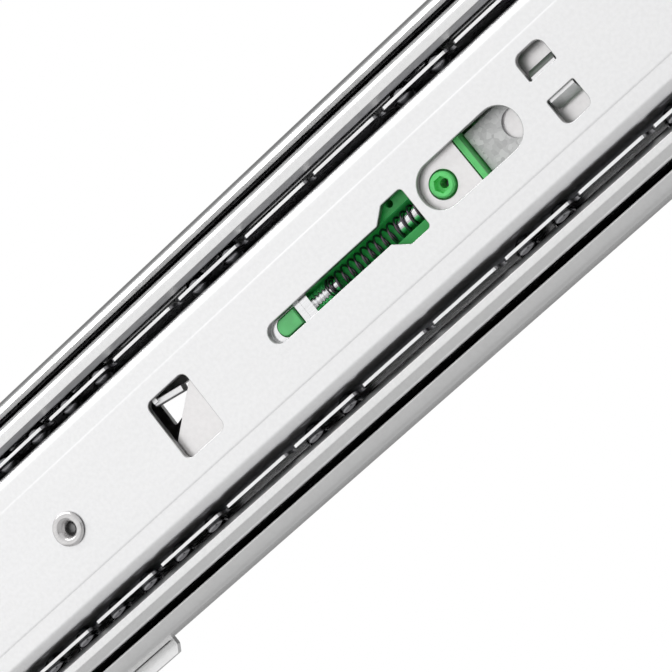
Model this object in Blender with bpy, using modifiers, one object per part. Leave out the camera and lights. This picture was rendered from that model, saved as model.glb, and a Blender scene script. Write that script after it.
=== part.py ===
"""Cabinet drawer slide: three rolled steel members on two ball cages, with a self-closing unit.

Frame: X runs along the slide and its rear end is at +X, so the drawer opens towards -X.
Z is up. Y = 0 is the face that screws to the cabinet, and the drawer side faces -Y.
A cross-section is drawn in (depth, height): depth is the distance in front of the cabinet
face, so y = -depth, and height is z. Every dimension here is in millimetres, and the
meshes are made in metres.
"""
import math

import bmesh
import bpy
from mathutils import Vector

MM = 0.001

# Driving dimensions of the slide
SLIDE_LENGTH = 450.0
INTERMEDIATE_LENGTH = 440.0
MEMBER_SHEET = 1.2
INTERMEDIATE_SHEET = 1.1
INNER_CAGE_SHEET = 0.5
OUTER_CAGE_SHEET = 0.4
REAR = SLIDE_LENGTH / 2
FRONT = -REAR

# Ball rows: radius, depth and height of the centre, measured from the slide's centre line
INNER_BALL = (2.0, 7.7, 15.15)
OUTER_BALL = (1.6, 2.86, 20.29)
BALL_GAP = 0.08

# Cages: pitch of the segments, rear end, and which segments hold a pair of balls,
# counted from the rear
CAGE_PITCH = 15.0
PAIR_SPACING = 7.4
INNER_CAGE_REAR = 112.5
INNER_CAGE_SEGMENTS = 12
INNER_PAIRS = (0, 2, 5, 7, 8, 9)
OUTER_CAGE_REAR = 120.0
OUTER_CAGE_SEGMENTS = 12
OUTER_PAIRS = (0, 10, 11)

# Self-closing unit: the datum that its features are measured from
UNIT_X = 40.0
RIVET_X = UNIT_X - 54.7
RIVET_HEIGHT = -0.7
WINDOW = (UNIT_X - 31.3, UNIT_X - 22.8, -5.4, 5.6)
KEYHOLE_FRONT = UNIT_X - 8.1
KEYHOLE_SHOULDER = UNIT_X + 16.55
KEYHOLE_HEAD = UNIT_X + 19.1
KEYHOLE_REAR = UNIT_X + 23.2
KEYHOLE_HALF = 1.75
KEYHOLE_HEAD_HALF = 3.75
SLOT_FRONT = UNIT_X + 24.7
SLOT_REAR = UNIT_X + 44.2
SLOT_HALF = 3.8
BOSS_X = UNIT_X + 28.3
LANCE_FRONT = UNIT_X + 48.9
LANCE_REAR = UNIT_X + 54.2
STRIKER_X = 205.0
CARRIAGE_TRAVEL = 12.0
SPRING_DEPTH = 9.2
SPRING_RADIUS = 1.6
SPRING_WIRE = 0.4
SPRING_PITCH = 1.41
DAMPER_DEPTH = 7.7
DAMPER_HEIGHT = 6.6
BORE_SIDES = 24

STEEL = (0.86, 0.86, 0.87)
BRIGHT_STEEL = (0.92, 0.92, 0.93)
DARK_STEEL = (0.42, 0.42, 0.43)
GREEN = (0.05, 0.42, 0.09)
LIGHT_GREEN = (0.22, 0.68, 0.26)
BLACK = (0.03, 0.03, 0.03)


# ---------------------------------------------------------------- helpers

def clear_scene():
    for old in list(bpy.data.objects):
        bpy.data.objects.remove(old)


def make_collection(name):
    collection = bpy.data.collections.new(name)
    bpy.context.scene.collection.children.link(collection)
    return collection


def make_material(name, colour, roughness, metallic):
    material = bpy.data.materials.new(name)
    material.use_nodes = True
    shader = material.node_tree.nodes["Principled BSDF"]
    shader.inputs["Base Color"].default_value = (*colour, 1.0)
    shader.inputs["Roughness"].default_value = roughness
    shader.inputs["Metallic"].default_value = metallic
    material.diffuse_color = (*colour, 1.0)
    return material


def place(x, depth, height):
    """A point of the slide's frame as a Blender position in metres."""
    return Vector((x, -depth, height)) * MM


def finish_mesh(bm, name, material):
    """Turn a bmesh into an object, in the parts' or the cutters' collection."""
    bmesh.ops.recalc_face_normals(bm, faces=bm.faces)
    mesh = bpy.data.meshes.new(name)
    bm.to_mesh(mesh)
    bm.free()
    thing = bpy.data.objects.new(name, mesh)
    if material is None:
        cutters.objects.link(thing)
        thing.hide_render = True
        thing.display_type = 'WIRE'
    else:
        parts.objects.link(thing)
        mesh.materials.append(material)
        mesh.shade_smooth()
        mesh.set_sharp_from_angle(angle=math.radians(35))
    return thing


def boolean(thing, tool, operation):
    step = thing.modifiers.new(tool.name, 'BOOLEAN')
    step.operation = operation
    step.solver = 'EXACT'
    step.object = tool


def cut(thing, *tools):
    for tool in tools:
        boolean(thing, tool, 'DIFFERENCE')


def join(thing, *tools):
    for tool in tools:
        boolean(thing, tool, 'UNION')


def rounded(corners, steps=4):
    """Outline through (a, b, radius) corners, each replaced by an arc of its radius."""
    outline = []
    count = len(corners)
    for i, (a, b, radius) in enumerate(corners):
        here = Vector((a, b))
        if radius <= 0:
            outline.append(here)
            continue
        before = (Vector(corners[i - 1][:2]) - here).normalized()
        after = (Vector(corners[(i + 1) % count][:2]) - here).normalized()
        half = before.angle(after) / 2
        middle = here + (before + after).normalized() * radius / math.sin(half)
        start = here + before * radius / math.tan(half) - middle
        end = here + after * radius / math.tan(half) - middle
        sweep = start.angle_signed(end)
        for step in range(steps + 1):
            turn = -sweep * step / steps
            outline.append(middle + Vector((
                start.x * math.cos(turn) - start.y * math.sin(turn),
                start.x * math.sin(turn) + start.y * math.cos(turn))))
    return outline


def rectangle(x0, x1, z0, z1, radius=0.0, steps=4):
    return rounded([(x0, z0, radius), (x1, z0, radius), (x1, z1, radius), (x0, z1, radius)], steps)


def circle(x, z, radius, sides=BORE_SIDES):
    return [Vector((x + radius * math.cos(2 * math.pi * i / sides),
                    z + radius * math.sin(2 * math.pi * i / sides))) for i in range(sides)]


def prism(name, corners, sweep, material):
    """Solid made by sweeping a flat face through a straight line."""
    bm = bmesh.new()
    face = bm.faces.new([bm.verts.new(corner) for corner in corners])
    grown = bmesh.ops.extrude_face_region(bm, geom=[face])
    moved = [v for v in grown["geom"] if isinstance(v, bmesh.types.BMVert)]
    bmesh.ops.translate(bm, verts=moved, vec=sweep)
    return finish_mesh(bm, name, material)


def plate(name, outline, depth0, depth1, material=None):
    """Prism of an (x, height) outline between two depths."""
    corners = [place(x, depth0, height) for x, height in outline]
    return prism(name, corners, place(0, depth1 - depth0, 0), material)


def bar_along_x(name, outline, x0, x1, material=None):
    """Prism of a (depth, height) outline between two stations along the slide."""
    corners = [place(x0, depth, height) for depth, height in outline]
    return prism(name, corners, place(x1 - x0, 0, 0), material)


def bar_along_z(name, outline, height0, height1, material=None):
    """Prism of an (x, depth) outline between two heights."""
    corners = [place(x, depth, height0) for x, depth in outline]
    return prism(name, corners, place(0, 0, height1 - height0), material)


def turned(name, profile, axis_start, direction, material=None, sides=BORE_SIDES):
    """Solid of revolution from a closed (radius, distance) profile, given up its outer side."""
    bm = bmesh.new()
    corners = [bm.verts.new(Vector((r, 0, along)) * MM) for r, along in profile]
    for i, (r, along) in enumerate(profile):
        if r > 0 or profile[i - 1][0] > 0:
            bm.edges.new((corners[i], corners[i - 1]))
    thing = finish_mesh(bm, name, material)
    screw = thing.modifiers.new("turn", 'SCREW')
    screw.steps = sides
    screw.render_steps = sides
    screw.use_merge_vertices = True
    screw.merge_threshold = 1e-6
    thing.rotation_mode = 'QUATERNION'
    thing.rotation_quaternion = Vector((0, 0, 1)).rotation_difference(Vector(direction))
    thing.location = axis_start
    return thing


class SheetPath:
    """Centre line of a bent sheet in (depth, height), drawn by a pen with a heading.

    Heading 0 points away from the cabinet face and 90 points up. The pen draws the upper
    half from the centre line, and the lower half is its mirror image.
    """

    def __init__(self, depth, heading=90.0):
        self.points = [(depth, 0.0)]
        self.heading = heading

    def run(self, length):
        depth, height = self.points[-1]
        turn = math.radians(self.heading)
        self.points.append((depth + length * math.cos(turn), height + length * math.sin(turn)))
        return self

    def bend(self, radius, angle, step=12.0):
        """Arc to the left for a positive angle and to the right for a negative one."""
        side = math.copysign(1.0, angle)
        start = math.radians(self.heading)
        depth, height = self.points[-1]
        centre = (depth - side * radius * math.sin(start), height + side * radius * math.cos(start))
        pieces = max(1, math.ceil(abs(angle) / step))
        for i in range(1, pieces + 1):
            now = start + math.radians(angle) * i / pieces
            self.points.append((centre[0] + side * radius * math.sin(now),
                                centre[1] - side * radius * math.cos(now)))
        self.heading += angle
        return self

    def both_halves(self):
        upper = self.points[1:]
        lower = [(depth, -height) for depth, height in reversed(upper)]
        return lower + upper


def sheet(name, path, thickness, x0, x1, material):
    """Roll-formed channel: the path drawn out along X and given its sheet thickness."""
    bm = bmesh.new()
    chain = [bm.verts.new(place(x0, depth, height)) for depth, height in path.both_halves()]
    edges = [bm.edges.new(pair) for pair in zip(chain, chain[1:])]
    grown = bmesh.ops.extrude_edge_only(bm, edges=edges)
    moved = [v for v in grown["geom"] if isinstance(v, bmesh.types.BMVert)]
    bmesh.ops.translate(bm, verts=moved, vec=place(x1 - x0, 0, 0))
    thing = finish_mesh(bm, name, material)
    wall = thing.modifiers.new("sheet", 'SOLIDIFY')
    wall.thickness = thickness * MM
    wall.offset = 0.0
    wall.use_even_offset = True
    return thing


def balls_tool(name, places, radius):
    """One cutter made of separate spheres, a little larger than the balls."""
    bm = bmesh.new()
    for spot in places:
        made = bmesh.ops.create_uvsphere(bm, u_segments=16, v_segments=10, radius=radius * MM)
        bmesh.ops.translate(bm, verts=made["verts"], vec=spot)
    return finish_mesh(bm, name, None)


# ---------------------------------------------------------------- members

def build_cabinet_member():
    """Outer channel. Its lower back corner is lanced into a foot."""
    sheet_half = MEMBER_SHEET / 2
    radius, depth, height = OUTER_BALL
    corner = radius + BALL_GAP + sheet_half
    path = SheetPath(sheet_half).run(height).bend(corner, -90).run(4.64).bend(2.0, -70).run(0.25)
    member = sheet("cabinet_member", path, MEMBER_SHEET, FRONT, REAR, zinc)

    foot_rear = UNIT_X - 57.5
    foot_front = foot_rear - 26.0
    notch = bar_along_x("foot_notch", rectangle(-1.0, 2.1, -25.0, -17.2), foot_front, foot_rear - 0.9)
    foot = plate("foot", rounded([(foot_front + 0.9, -16.6, 0), (foot_rear - 1.8, -16.6, 0),
                                  (foot_rear - 1.8, -21.8, 0.8), (foot_rear, -22.5, 0.8),
                                  (foot_rear, -24.2, 0.9), (foot_rear - 0.8, -25.4, 0.3),
                                  (foot_front + 2.2, -25.4, 1.2), (foot_front + 0.9, -23.8, 1.0)]),
                 0.02, MEMBER_SHEET - 0.02)
    view_window = plate("cabinet_window", rectangle(UNIT_X - 34.8, UNIT_X - 22.0, 1.0, 8.0, 1.5),
                        -2.0, 4.0)
    cut(member, notch, view_window)
    join(member, foot)
    for i, x in enumerate((-188.0, -156.0, -60.0, 100.0, 132.0, 180.0)):
        cut(member, plate(f"cabinet_screw_hole_{i}", circle(x, 0, 2.25), -2.0, 4.0))
    return member


def build_intermediate_member():
    """Middle channel: outer balls run behind its ridge, inner balls under its rolled lip."""
    path = SheetPath(2.85).run(17.12).bend(1.164, -70).bend(2.21, 25).bend(1.95, -45)
    path.run(3.07).bend(1.48, -90, 15).run(1.72)
    half = INTERMEDIATE_LENGTH / 2
    member = sheet("intermediate_member", path, INTERMEDIATE_SHEET, -half, half, zinc)
    for i, x in enumerate((-156.0, -60.0, 132.0)):
        cut(member, plate(f"access_hole_{i}", circle(x, 0, 4.5), 1.0, 5.0))
    wedge = plate("wedge_opening", rounded([(UNIT_X - 33.3, 1.9, 0.3), (UNIT_X - 22.5, 3.9, 0.3),
                                            (UNIT_X - 22.5, 5.5, 0.3), (UNIT_X - 33.3, 6.5, 0.3)]),
                  1.0, 5.0)
    striker_way = plate("striker_way", rectangle(STRIKER_X - 7, half + 5, -2.4, 2.4), 1.0, 5.0)
    cut(member, wedge, striker_way)
    for name, side in (("upper_lip_chamfer", 1), ("lower_lip_chamfer", -1)):
        corners = [Vector((9.99, side * 16.0)), Vector((11.5, side * 15.9)), Vector((11.5, side * 17.55))]
        cut(member, bar_along_x(name, corners, -half - 1, half + 1))
    return member


def build_drawer_member():
    """Front member, screwed to the drawer, with every opening of the self-closing unit."""
    radius, depth, height = INNER_BALL
    race = radius + BALL_GAP + MEMBER_SHEET / 2
    flange = height - race
    path = SheetPath(12.1).run(8.3).bend(1.0, 14, 7).bend(1.0, -14, 7)
    path.run(flange - 1.4 - path.points[-1][1]).bend(1.4, 90)
    path.run(path.points[-1][0] - depth).bend(race, -55)
    member = sheet("drawer_member", path, MEMBER_SHEET, FRONT, REAR, zinc)

    window = plate("window", rectangle(*WINDOW, 1.2), 9.0, 15.0)
    half = KEYHOLE_HALF
    head = KEYHOLE_HEAD_HALF
    keyhole = plate("keyhole", rounded([
        (KEYHOLE_FRONT, -half, half * 0.98), (KEYHOLE_SHOULDER, -half, 0.4), (KEYHOLE_HEAD, -head, 0.5),
        (KEYHOLE_REAR, -head, 0.7), (KEYHOLE_REAR, head, 0.7), (KEYHOLE_HEAD, head, 0.5),
        (KEYHOLE_SHOULDER, half, 0.4), (KEYHOLE_FRONT, half, half * 0.98)]), 9.0, 15.0)
    slot = plate("slot", rectangle(SLOT_FRONT, SLOT_REAR, -SLOT_HALF, SLOT_HALF, SLOT_HALF * 0.98, 8),
                 9.0, 15.0)
    upper_lance = plate("upper_lance", rounded([(LANCE_FRONT, 2.2, 0.3), (LANCE_REAR, 2.2, 0.3),
                                                (LANCE_REAR, 6.5, 1.4), (LANCE_FRONT, 6.5, 1.4)]),
                        9.0, 15.0)
    lower_lance = plate("lower_lance", rounded([(LANCE_FRONT, -6.4, 1.4), (LANCE_REAR, -6.4, 1.4),
                                                (LANCE_REAR, -1.6, 0.3), (LANCE_FRONT, -1.6, 0.3)]),
                        9.0, 15.0)
    rivet_hole = plate("rivet_hole", circle(RIVET_X, RIVET_HEIGHT, 2.0), 9.0, 15.0)
    cut(member, window, keyhole, slot, upper_lance, lower_lance, rivet_hole)
    for name, height0, lean in (("upper_ear", 2.2, 1.0), ("lower_ear", -1.6, -1.0)):
        ear = bar_along_x(name, [Vector((11.55, height0 - lean * 0.4)),
                                 Vector((12.2, height0 - lean * 0.4)),
                                 Vector((12.2, height0 + lean * 0.5)),
                                 Vector((10.9, height0 + lean * 1.7)),
                                 Vector((10.1, height0 + lean * 1.1)),
                                 Vector((11.3, height0 - lean * 0.0))],
                          LANCE_FRONT + 0.35, LANCE_REAR - 0.35)
        join(member, ear)
    tab = bar_along_x("lever_stop", rectangle(9.2, 11.3, -0.55, 0.55), -2.7, 2.7)
    tab.rotation_euler = (0, math.radians(11), 0)
    tab.location = place(UNIT_X - 27.8, 0, 4.6)
    tab_root = bar_along_x("lever_stop_root", rectangle(10.2, 11.9, 4.9, 6.6), UNIT_X - 30.3, UNIT_X - 29.5)
    join(member, tab, tab_root)
    for i, x in enumerate((-205.0, -173.0, -109.0, -77.0)):
        cut(member, plate(f"drawer_screw_hole_{i}", circle(x, 0, 2.25), 9.0, 15.0))
    return member


# ---------------------------------------------------------------- cages and balls

def pair_stations(cage_rear, pairs):
    """X of each ball: two in every segment that holds a pair."""
    stations = []
    for segment in pairs:
        middle = cage_rear - (segment + 0.5) * CAGE_PITCH
        stations += [middle - PAIR_SPACING / 2, middle + PAIR_SPACING / 2]
    return sorted(stations)


def ball_places(ball, stations):
    radius, depth, height = ball
    return [place(x, depth, side * height) for side in (1, -1) for x in stations]


def build_cage(name, path, thickness, ball, cage_rear, segments, pairs, open_half):
    """Cage channel with a pocket for each ball and two long openings in its web."""
    front = cage_rear - segments * CAGE_PITCH
    cage = sheet(name, path, thickness, front, cage_rear, cage_steel)
    pockets = balls_tool(f"{name}_pockets", ball_places(ball, pair_stations(cage_rear, pairs)),
                         ball[0] + 0.12)
    cut(cage, pockets)
    opening_ends = ((front + 8, UNIT_X - 15), (UNIT_X - 7, cage_rear - 8))
    for i, (x0, x1) in enumerate(opening_ends):
        cut(cage, plate(f"{name}_opening_{i}", rectangle(x0, x1, -open_half, open_half, 3.0), 0.5, 6.0))
    return cage


def scallop_rim(cage, rim_depth):
    """Rounded notch in both rims of the cage between each two segments."""
    half_profile = [(1.5, -0.02), (0.75, -0.35), (0.38, -2.2)]
    for i in range(1, INNER_CAGE_SEGMENTS):
        x = INNER_CAGE_REAR - i * CAGE_PITCH
        left = [Vector((x - across, rim_depth + along)) for across, along in half_profile]
        right = [Vector((x + across, rim_depth + along)) for across, along in reversed(half_profile)]
        outside = [Vector((x + 1.6, rim_depth + 0.5)), Vector((x - 1.6, rim_depth + 0.5))]
        cut(cage, bar_along_z(f"rim_notch_{i}", left + right + outside, -20.0, 20.0))


def build_inner_cage():
    path = SheetPath(4.05).run(14.1).bend(0.6, -90, 22.5).run(6.75)
    cage = build_cage("inner_ball_cage", path, INNER_CAGE_SHEET, INNER_BALL, INNER_CAGE_REAR,
                      INNER_CAGE_SEGMENTS, INNER_PAIRS, 10.0)
    scallop_rim(cage, 11.4)
    return cage


def build_outer_cage():
    path = SheetPath(1.75).run(19.0).bend(0.6, -45, 22.5).run(1.84).bend(0.6, -45, 22.5).run(3.75)
    return build_cage("outer_ball_cage", path, OUTER_CAGE_SHEET, OUTER_BALL, OUTER_CAGE_REAR,
                      OUTER_CAGE_SEGMENTS, OUTER_PAIRS, 12.0)


def build_balls(row_name, ball, cage_rear, pairs):
    """Upper and lower row of separate balls, counted from the front."""
    stations = pair_stations(cage_rear, pairs)
    count = len(stations)
    for i, spot in enumerate(ball_places(ball, stations)):
        row = "upper" if i < count else "lower"
        bm = bmesh.new()
        bmesh.ops.create_icosphere(bm, subdivisions=2, radius=ball[0] * MM)
        thing = finish_mesh(bm, f"{row_name}_ball_{row}_{i % count + 1}", ball_steel)
        thing.location = spot


# ---------------------------------------------------------------- self-closing unit

def build_unit_housing():
    """Green body: front block with the spring trough, two long rails and a rear bridge."""
    block_front = KEYHOLE_FRONT - 1.2
    block_rear = SLOT_FRONT - 1.5
    housing = plate("unit_housing", rectangle(block_front, block_rear, -10.9, 10.9, 1.0), 5.0, 11.0, green)
    rail_rear = STRIKER_X + 10
    for name, side in (("upper_rail", 1), ("lower_rail", -1)):
        heights = sorted((side * 9.4, side * 10.9))
        join(housing, plate(name, rectangle(block_rear - 3, rail_rear, *heights), 5.0, 11.0))
    bridge = plate("rear_bridge", rectangle(136.0, 140.0, -10.5, 10.5), 5.2, 10.8)
    bridge_way = plate("bridge_way", rectangle(135.0, 141.0, -4.4, 4.4), 5.9, 8.1)
    cradle = turned("damper_cradle", [(0, 0), (2.65, 0), (2.65, 10), (0, 10)],
                    place(133.0, DAMPER_DEPTH, DAMPER_HEIGHT), (1, 0, 0))
    join(housing, bridge)
    cut(housing, bridge_way, cradle)
    tongue = plate("tongue", rounded([(KEYHOLE_FRONT + 1.6, -1.4, 1.3), (KEYHOLE_FRONT + 5.6, -1.4, 0.2),
                                      (KEYHOLE_FRONT + 5.6, 1.4, 0.2), (KEYHOLE_FRONT + 1.6, 1.4, 1.3)]),
                   10.0, 12.0)
    join(housing, tongue)
    trough_front = KEYHOLE_FRONT + 5.65
    round_bottom = [Vector((SPRING_DEPTH - 2.05 * math.sin(a), 2.05 * math.cos(a)))
                    for a in (math.pi * i / 12 for i in range(13))]
    trough = bar_along_x("trough", [Vector((14.0, 2.05))] + round_bottom + [Vector((14.0, -2.05))],
                         trough_front, block_rear + 2)
    cut(housing, trough)
    cut(housing, plate("sight_hole", circle(UNIT_X + 19.8, 3.4, 0.6, 12), 8.0, 13.0))
    return housing


def build_spring_anchor():
    """Steel block in the front of the trough: a collar round the tongue and a post in the spring."""
    front = KEYHOLE_FRONT + 5.95
    anchor = plate("spring_anchor", rectangle(front, front + 2.5, -1.7, 1.7), 8.4, 11.35, bright)
    ribs = [(0, 0), (1.6, 0)]
    for rib in range(4):
        ribs += [(1.6, 2.45 + rib * 0.7), (1.25, 2.6 + rib * 0.7), (1.6, 2.75 + rib * 0.7)]
    post = turned("anchor_post", ribs + [(1.6, 5.0), (1.05, 5.1), (1.05, 7.0), (0, 7.0)],
                  place(front + 0.5, SPRING_DEPTH, 0), (1, 0, 0))
    join(anchor, post)
    collar = plate("anchor_collar", rounded([(KEYHOLE_FRONT - 0.8, -2.6, 2.4), (front + 1.0, -2.6, 0.3),
                                             (front + 1.0, 2.6, 0.3), (KEYHOLE_FRONT - 0.8, 2.6, 2.4)]),
                   11.08, 11.38)
    tongue_way = plate("tongue_way", rounded([
        (KEYHOLE_FRONT + 1.35, -1.65, 1.5), (KEYHOLE_FRONT + 5.85, -1.65, 0.2),
        (KEYHOLE_FRONT + 5.85, 1.65, 0.2), (KEYHOLE_FRONT + 1.35, 1.65, 1.5)]), 10.0, 11.5)
    join(anchor, collar)
    cut(anchor, tongue_way)
    return anchor


def build_closing_spring():
    """Extension spring as a helix of wire: close turns at the anchor, open turns to the pin."""
    start = KEYHOLE_FRONT + 11.75
    end = KEYHOLE_REAR + 0.3
    close_turns = 1
    close_pitch = SPRING_WIRE + 0.06
    open_turns = (end - start - close_turns * close_pitch) / SPRING_PITCH
    sides = 14
    curve = bpy.data.curves.new("closing_spring", 'CURVE')
    curve.dimensions = '3D'
    curve.bevel_depth = SPRING_WIRE / 2 * MM
    curve.bevel_resolution = 1
    curve.use_fill_caps = True
    total = int((close_turns + open_turns) * sides)
    spline = curve.splines.new('POLY')
    spline.points.add(total)
    for i in range(total + 1):
        turn = i / sides
        along = min(turn, close_turns) * close_pitch + max(turn - close_turns, 0) * SPRING_PITCH
        angle = 2 * math.pi * turn
        spot = place(start + along, SPRING_DEPTH + SPRING_RADIUS * math.cos(angle),
                     SPRING_RADIUS * math.sin(angle))
        spline.points[i].co = (*spot, 1)
    thing = bpy.data.objects.new("closing_spring", curve)
    parts.objects.link(thing)
    curve.materials.append(spring_steel)
    return thing


def build_carriage():
    """Green slider with the ring boss, a rib behind the catch plate and an arm to the damper rod."""
    front = SLOT_FRONT - 0.9
    rear = BOSS_X + 6.3
    carriage = plate("carriage", rectangle(front, rear, -8.6, 8.6, 0.6), 7.8, 9.9, light_green)
    rib = plate("carriage_rib", rectangle(rear - 0.95, rear, -8.0, 8.0), 9.5, 10.9)
    boss = turned("carriage_boss", [(0, -0.5), (2.0, -0.5), (2.0, 1.75), (1.75, 2.0), (0, 2.0)],
                  place(BOSS_X, 9.9, 0), (0, -1, 0))
    recess = plate("boss_recess", circle(BOSS_X, 0, 1.35, 6), 10.7, 13.0)
    bore = plate("boss_bore", circle(BOSS_X + 0.15, 0.1, 0.75, 12), 7.0, 13.0)
    arm = plate("carriage_arm", rectangle(rear - 4, rear, 5.0, 8.6), 5.9, 8.0)
    join(carriage, rib, boss, arm)
    cut(carriage, recess, bore)
    return carriage


def build_catch_plate():
    front = SLOT_FRONT - 0.9
    catch = plate("catch_plate", rectangle(front, BOSS_X + 5.2, -7.4, 7.4, 0.5), 10.2, 11.1, bright)
    cut(catch, plate("catch_plate_hole", circle(BOSS_X, 0, 2.3), 9.0, 13.0))
    return catch


def build_spring_pin():
    rear = SLOT_FRONT - 1.25
    front = UNIT_X + 17.7
    return turned("spring_pin", [(0, 0), (0.85, 0), (1.15, 0.3), (1.15, rear - front), (0, rear - front)],
                  place(front, SPRING_DEPTH, 0), (1, 0, 0), bright)


def build_pull_bar():
    """Steel strip from the carriage to the latch fork. Its pad behind the slot has a round pocket."""
    bar = plate("pull_bar", rectangle(SLOT_FRONT + 0.8, STRIKER_X - 15, -4.0, 4.0, 0.8), 6.2, 7.4, zinc)
    join(bar, plate("pull_bar_pad", rectangle(BOSS_X + 6.6, UNIT_X + 46.6, -3.95, 3.95), 6.8, 8.8))
    cut(bar, plate("pull_bar_pocket", circle(UNIT_X + 42.5, 0, 2.4), 8.1, 10.0))
    return bar


def build_latch_fork():
    """Plastic fork whose two fingers hold the striker between them."""
    front = STRIKER_X - 20
    rear = STRIKER_X + 5
    crotch = STRIKER_X - CARRIAGE_TRAVEL - 2.1
    fork = plate("latch_fork", rounded([(front, -4.0, 0.8), (rear, -4.0, 0.8), (rear, -3.0, 0.3),
                                        (rear - 2.0, -2.15, 0.5), (crotch, -2.15, 0.8),
                                        (crotch, 2.15, 0.8), (rear - 2.0, 2.15, 0.5),
                                        (rear, 3.0, 0.3), (rear, 4.0, 0.8), (front, 4.0, 0.8)]),
                 7.7, 10.6, green)
    return fork


def build_damper():
    """Cylinder with its cap, and the rod and piston that the carriage drives."""
    front = 112.0
    length = 52.0
    axis = place(front, DAMPER_DEPTH, DAMPER_HEIGHT)
    turned("damper_cylinder", [(1.7, 0), (2.35, 0), (2.35, length - 0.4), (1.95, length), (0, length),
                               (0, length - 1.2), (1.7, length - 1.2)], axis, (1, 0, 0), dark)
    turned("damper_cap", [(0.95, -3.4), (1.9, -3.4), (2.35, -3.0), (2.35, -0.3), (0.95, -0.3)],
           axis, (1, 0, 0), black)
    rod_front = BOSS_X + 6.6
    rod_rear = front + 6.0
    turned("damper_rod", [(0, 0), (0.8, 0), (0.8, rod_rear - rod_front), (0, rod_rear - rod_front)],
           place(rod_front, DAMPER_DEPTH, DAMPER_HEIGHT), (1, 0, 0), bright, 16)
    turned("damper_piston", [(0, 0.3), (1.55, 0.3), (1.55, 3.5), (0, 3.5)],
           place(rod_rear, DAMPER_DEPTH, DAMPER_HEIGHT), (1, 0, 0), black, 16)


def build_unit_bracket():
    """Steel plate that the two lanced ears of the drawer member press on."""
    bracket = plate("unit_bracket", rectangle(LANCE_FRONT - 0.8, LANCE_REAR + 2.2, -9.0, 9.0, 0.5), 9.0, 9.7,
                    bright)
    return bracket


# ---------------------------------------------------------------- release lever, stops and striker

def build_release_lever():
    """Flat lever on the rivet. Its arm passes below the window, and its plate shows in it."""
    left, right, bottom, top = WINDOW
    outline = rounded([(RIVET_X - 4.2, 2.6, 2.5), (RIVET_X - 4.2, -4.4, 2.5), (RIVET_X + 6.0, -8.8, 3.0),
                       (right + 12.6, -8.8, 1.2), (right + 12.6, 7.2, 1.2), (right + 3.2, 7.2, 1.0),
                       (left - 0.5, -2.0, 0.3), (left - 0.5, -6.0, 0.6), (RIVET_X + 6.2, -5.8, 2.0),
                       (RIVET_X + 4.2, 2.6, 2.5)])
    pivot = Vector((RIVET_X, RIVET_HEIGHT))
    lever = plate("release_lever", [corner - pivot for corner in outline], 10.2, 11.1, bright)
    lever.location = place(RIVET_X, 0, RIVET_HEIGHT)
    cut(lever, plate("lever_hole", circle(RIVET_X, RIVET_HEIGHT, 1.75), 9.0, 13.0))
    return lever


def build_release_rivet():
    """Semi-tubular rivet: rolled ring on the web, shank through web and lever, plain head behind."""
    return turned("release_rivet", [(0, -3.5), (3.0, -3.5), (3.0, -2.85), (1.55, -2.85), (1.55, 0.15),
                                    (2.75, 0.15), (2.75, 0.35), (2.4, 0.55), (1.7, 0.55), (1.3, 0.1),
                                    (0.95, -0.4), (0.75, -0.8), (0.75, -1.5), (0, -1.5)],
                  place(RIVET_X, 12.75, RIVET_HEIGHT), (0, -1, 0), bright)


def build_striker():
    """Pin on the cabinet member's rear, with a thin base flange."""
    return turned("striker", [(0, 0), (4.2, 0), (4.2, 0.5), (1.8, 0.5), (1.8, 8.0), (1.4, 8.6), (0, 8.6)],
                  place(STRIKER_X, 1.5, 0), (0, -1, 0), bright)


def build_bumpers():
    half = INTERMEDIATE_LENGTH / 2
    plate("rear_bumper", rectangle(half + 0.4, REAR - 0.2, -15.0, 15.0, 1.5), 1.5, 4.4, black)
    plate("front_bumper", rectangle(FRONT + 0.2, -half - 0.3, -13.0, 13.0, 1.5), 2.0, 4.6, black)


clear_scene()
parts = make_collection("cabinet_drawer_slide")
cutters = make_collection("cutters")
cutters.hide_render = True

zinc = make_material("zinc_plated_steel", STEEL, 0.32, 1.0)
bright = make_material("bright_steel", BRIGHT_STEEL, 0.28, 1.0)
cage_steel = make_material("cage_steel", DARK_STEEL, 0.3, 1.0)
ball_steel = make_material("ball_steel", BRIGHT_STEEL, 0.08, 1.0)
spring_steel = make_material("spring_steel", DARK_STEEL, 0.25, 1.0)
dark = make_material("damper_steel", DARK_STEEL, 0.35, 1.0)
green = make_material("green_plastic", GREEN, 0.4, 0.0)
light_green = make_material("light_green_plastic", LIGHT_GREEN, 0.4, 0.0)
black = make_material("black_plastic", BLACK, 0.5, 0.0)

build_cabinet_member()
build_intermediate_member()
build_drawer_member()
build_inner_cage()
build_outer_cage()
build_balls("inner", INNER_BALL, INNER_CAGE_REAR, INNER_PAIRS)
build_balls("outer", OUTER_BALL, OUTER_CAGE_REAR, OUTER_PAIRS)
build_unit_housing()
build_spring_anchor()
build_closing_spring()
build_carriage()
build_catch_plate()
build_spring_pin()
build_pull_bar()
build_latch_fork()
build_damper()
build_unit_bracket()
build_release_lever()
build_release_rivet()
build_striker()
build_bumpers()
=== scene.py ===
"""Looks of the cabinet drawer slide.

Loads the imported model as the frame, rebuilds its sheet-metal members, cages, balls, spring and
moulded parts with finer bends and broken edges, and gives every piece a procedural material.
The helpers below take millimetres in the slide's own terms: x along the slide, depth in front of
the cabinet face (y = -depth) and height (z). The meshes are in metres, in the frame's axes.
"""
import math

import bmesh
import bpy
from mathutils import Matrix, Vector


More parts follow.
